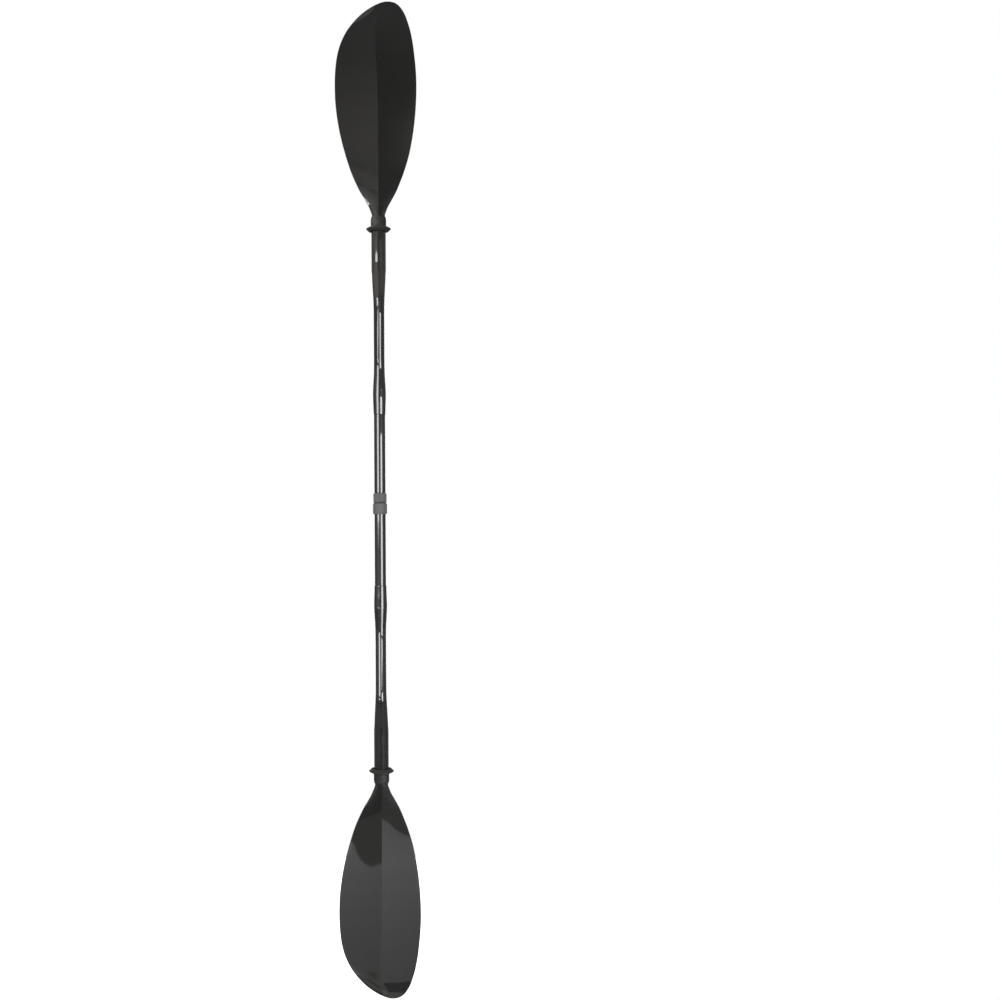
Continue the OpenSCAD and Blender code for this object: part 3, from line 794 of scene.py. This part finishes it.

# a sheet in front of the paddle that only glossy rays see, so it paints the blades' reflections: black above a slanting
# edge, where it paints dark reflection, and grey gauze elsewhere, which dims the reflections behind it
FLAG_Y = -0.70
fl = bpy.data.materials.new("reflection_flag")
fl.use_nodes = True
ft = fl.node_tree
ft.nodes.clear()
fo = ft.nodes.new("ShaderNodeOutputMaterial")
tr = ft.nodes.new("ShaderNodeBsdfTransparent")
glow = ft.nodes.new("ShaderNodeEmission")
both = ft.nodes.new("ShaderNodeAddShader")
ft.links.new(tr.outputs[0], both.inputs[0])
ft.links.new(glow.outputs[0], both.inputs[1])
ft.links.new(both.outputs[0], fo.inputs[0])
fc = ft.nodes.new("ShaderNodeTexCoord")
fs = ft.nodes.new("ShaderNodeSeparateXYZ")
ft.links.new(fc.outputs["Object"], fs.inputs[0])
k = Sky(ft)
fx, _, fz = fs.outputs
rise = k.curve(fx, [(-0.16, 0.115), (-0.092, 0.110), (-0.076, 0.098), (-0.064, 0.0925), (-0.054, 0.095), (-0.042, 0.107),
                    (-0.028, 0.134), (-0.018, 0.155), (0.002, 0.192), (0.015, 0.203), (0.034, 0.209), (0.056, 0.226),
                    (0.078, 0.239), (0.096, 0.250), (0.16, 0.265)])
over_edge = k.step(k.op("SUBTRACT", k.op("ADD", fz, 1.2), rise), -0.003, 0.003)
low_gauze = k.curve(fx, [(-0.16, 0.70), (-0.085, 0.76), (-0.015, 0.88), (0.015, 0.88), (0.085, 1.0), (0.16, 1.0)])
mid_gauze = k.step(fz, -0.50, -0.40)
high_gauze = k.curve(fx, [(-0.16, 1.0), (-0.02, 1.0), (0.0, 0.9), (0.012, 0.62), (0.026, 0.46), (0.05, 0.30), (0.075, 0.16),
                          (0.16, 0.14)])
dim_top = k.op("MULTIPLY", k.step(fz, 1.118, 1.152), k.op("MULTIPLY", k.step(fx, -0.004, 0.010), 0.62))
high_gauze = k.op("MULTIPLY", high_gauze, k.op("SUBTRACT", 1.0, dim_top))
t1 = k.mix(over_edge, low_gauze, mid_gauze)
t2 = k.mix(k.step(fz, 0.78, 0.90), t1, high_gauze)
# the sheet's own glow, painted light in the blades' reflections though the sheet is no lamp: low down its black half
# glows a little as a painted grey reflection, one strip of it paints a highlight on the lower tip's left edge, and the
# gauze glows a little as a painted warm reflection where the upper neck sees it
painted_low_glow = k.op("MULTIPLY", over_edge, k.op("SUBTRACT", 1.0, k.step(fz, -0.86, -0.78)))
strip = k.op("MULTIPLY", k.step(fx, -0.020, -0.016), k.op("SUBTRACT", 1.0, k.step(fx, 0.002, 0.008)))
strip = k.op("MULTIPLY", strip, k.op("MULTIPLY", k.step(fz, -1.145, -1.135), k.op("SUBTRACT", 1.0, k.step(fz, -1.030, -1.015))))
warm = k.op("MULTIPLY", k.step(fz, 0.78, 0.84), k.op("SUBTRACT", 1.0, k.step(fz, 0.93, 1.0)))
warm = k.op("MULTIPLY", warm, k.op("SUBTRACT", 1.0, k.step(fx, 0.0, 0.02)))
glow.inputs["Color"].default_value = (1.0, 0.965, 0.91, 1)
ft.links.new(k.op("ADD", k.op("MULTIPLY", painted_low_glow, 0.33), k.op("ADD", k.op("MULTIPLY", strip, 0.62), k.op("MULTIPLY", warm, 0.30))),
             glow.inputs["Strength"])
fl.cycles.emission_sampling = "NONE"
cc = ft.nodes.new("ShaderNodeCombineColor")
for i in range(3):
    ft.links.new(t2, cc.inputs[i])
ft.links.new(cc.outputs[0], tr.inputs[0])
flag_me = bpy.data.meshes.new("reflection_flag")
flag_me.from_pydata([(-0.16, FLAG_Y, -1.4), (0.16, FLAG_Y, -1.4), (0.16, FLAG_Y, 1.5), (-0.16, FLAG_Y, 1.5)], [],
                    [(0, 1, 2, 3)])
reflection_flag = bpy.data.objects.new("reflection_flag", flag_me)
scene.collection.objects.link(reflection_flag)
flag_me.materials.append(fl)
reflection_flag.visible_camera = False
reflection_flag.visible_diffuse = False
reflection_flag.visible_shadow = False
reflection_flag.visible_transmission = False


def card(name, cy, rad, a0, a1, low_z, high_z, level):
    """A small curved card round the shaft that only glossy rays see, so it paints the shaft's reflections: black for a
    painted dark reflection, or glowing at a set level for a painted highlight or sheen though it is no lamp. The edges
    are one height each, or one height for every step round from a0 to a1."""
    n = 12
    v, f = [], []
    for i in range(n + 1):
        a = math.radians(a0 + (a1 - a0) * i / n)
        for edge in (low_z, high_z):
            z = edge if isinstance(edge, float) else float(np.interp(a0 + (a1 - a0) * i / n, *zip(*edge)))
            v.append((rad * math.sin(a), cy - rad * math.cos(a), z))
        if i:
            f.append((2 * i - 2, 2 * i, 2 * i + 1, 2 * i - 1))
    me = bpy.data.meshes.new(name)
    me.from_pydata(v, [], f)
    ob = bpy.data.objects.new(name, me)
    scene.collection.objects.link(ob)
    mat = bpy.data.materials.new(name)
    mat.use_nodes = True
    p = mat.node_tree.nodes["Principled BSDF"]
    p.inputs["Base Color"].default_value = (0, 0, 0, 1)
    p.inputs["Specular IOR Level"].default_value = 0.0
    p.inputs["Roughness"].default_value = 1.0
    p.inputs["Emission Color"].default_value = (1, 0.975, 0.94, 1)
    p.inputs["Emission Strength"].default_value = level
    mat.cycles.emission_sampling = "NONE"
    me.materials.append(mat)
    for kind in ("camera", "diffuse", "shadow", "transmission"):
        setattr(ob, "visible_" + kind, False)


# at the two necks: cards that keep the soft boxes out of the flanks, painting dark reflection there; three glow faintly
# as a painted dim grey reflection
card("card_upper_right", -0.02, 0.15, 5, 60, 0.600, 0.73, 0.0)
card("card_upper_left", -0.02, 0.15, -64, -9, 0.600, 0.71, 0.55)
card("card_lower_left", -0.02, 0.15, -64, -9, -0.73, -0.600, 0.08)
card("card_lower_right", -0.02, 0.15, 5, 60, -0.73, -0.600, 0.22)
# a glowing card that paints the small bright highlight on the upper neck's left flank
card("card_neck_patch", -0.02, 0.12, -91, -46, [(-91, 0.615), (-74, 0.6200), (-60, 0.630), (-54, 0.633), (-46, 0.637)],
     [(-91, 0.6175), (-74, 0.6240), (-60, 0.6345), (-54, 0.6385), (-46, 0.6425)], 16.0)
# on the shaft: cards hide the left box from the lower swell and the right one from the upper crank's peak and the upper
# swell, painting dark reflection there with a faint painted grey glow
# at the drip rings: glowing cards that paint the faint sheen along each sleeve, a painted highlight
card("card_sleeve_up", -0.019, 0.036, -66, -26, 0.609, 0.630, 13.0)
card("card_sleeve_low", -0.019, 0.036, 6, 46, -0.630, -0.608, 7.5)
card("card_swell", 0.0, 0.03, -52, -6, -0.292, -0.241, 0.30)
card("card_peak", -0.031, 0.03, 6, 52, 0.405, 0.455, 0.12)
card("card_swell_up", 0.0, 0.03, 6, 52, 0.246, 0.291, 0.15)


def panel(name, az, dist, z0, z1, width_deg, radiance, diffuse=False, glossy=True, size=None, loc=None, aim=None):
    """A soft box facing the paddle's middle, from its azimuth, distance and height span."""
    li = bpy.data.lights.new(name, "AREA")
    li.shape = "RECTANGLE"
    if loc is None:
        a = math.radians(az)
        loc = Vector((dist * math.sin(a), -dist * math.cos(a), (z0 + z1) / 2))
        li.size = 2 * dist * math.tan(math.radians(width_deg / 2))
        li.size_y = z1 - z0
        aim = Vector((0, 0, loc.z))
    else:
        loc, aim = Vector(loc), Vector(aim)
        li.size, li.size_y = size
    li.energy = radiance * math.pi * li.size * li.size_y
    ob = bpy.data.objects.new(name, li)
    ob.location = loc
    ob.rotation_mode = "QUATERNION"
    ob.rotation_quaternion = (aim - loc).to_track_quat("-Z", "Y")
    ob.visible_camera = False
    ob.visible_diffuse = diffuse
    ob.visible_glossy = glossy
    scene.collection.objects.link(ob)
    return ob


# soft boxes left and right of the camera: each is split, as the real pair's reflections are
panel("box_left_top", -36, 2.5, -0.085, 0.97, 33, 12.5)
panel("box_left_low", -36, 2.5, -0.64, -0.40, 33, 10)
for i, (za, zb, e) in enumerate(((-0.11, -0.085, 5.5), (-0.135, -0.11, 3.6), (-0.16, -0.135, 2.2), (-0.185, -0.16, 1.1))):
    panel(f"box_left_fade_{i}", -36, 2.5, za, zb, 33, e)
panel("box_right_mid", 32, 2.5, -0.46, 0.26, 33, 14)
panel("box_right_top", 32, 2.5, 0.50, 0.82, 33, 12)
panel("box_right_low", 32, 2.5, -0.82, -0.46, 33, 12)
panel("box_rear_right", 160, 2.5, -0.9, 0.9, 16, 2.5)
panel("box_rear_left", 200, 2.5, -0.9, 0.9, 16, 2.5)
# broad fill that lights the floor and the matt surfaces
panel("fill_top", 0, 0, 0, 0, 0, 1.5, True, False, (3.2, 3.2), (0, -0.4, 2.6), (0, 0, 0))
panel("fill_front", 0, 0, 0, 0, 0, 0.7, True, False, (3.0, 2.4), (0, -3.4, 0.4), (0, 0, 0))
panel("fill_back", 0, 0, 0, 0, 0, 0.7, True, False, (3.0, 2.4), (0, 3.4, 0.4), (0, 0, 0))

cam_data = bpy.data.cameras.new("camera")
cam_data.sensor_width = 36.0
cam_data.lens = 18.0 / math.tan(math.radians(19.0))
cam_data.shift_x = 0.120
cam_data.shift_y = 0.0
cam = bpy.data.objects.new("camera", cam_data)
scene.collection.objects.link(cam)
cam.location = (0, -3.230, 0)
cam.rotation_mode = "XYZ"
cam.rotation_euler = (math.radians(90), math.radians(0.32), 0)
scene.camera = cam
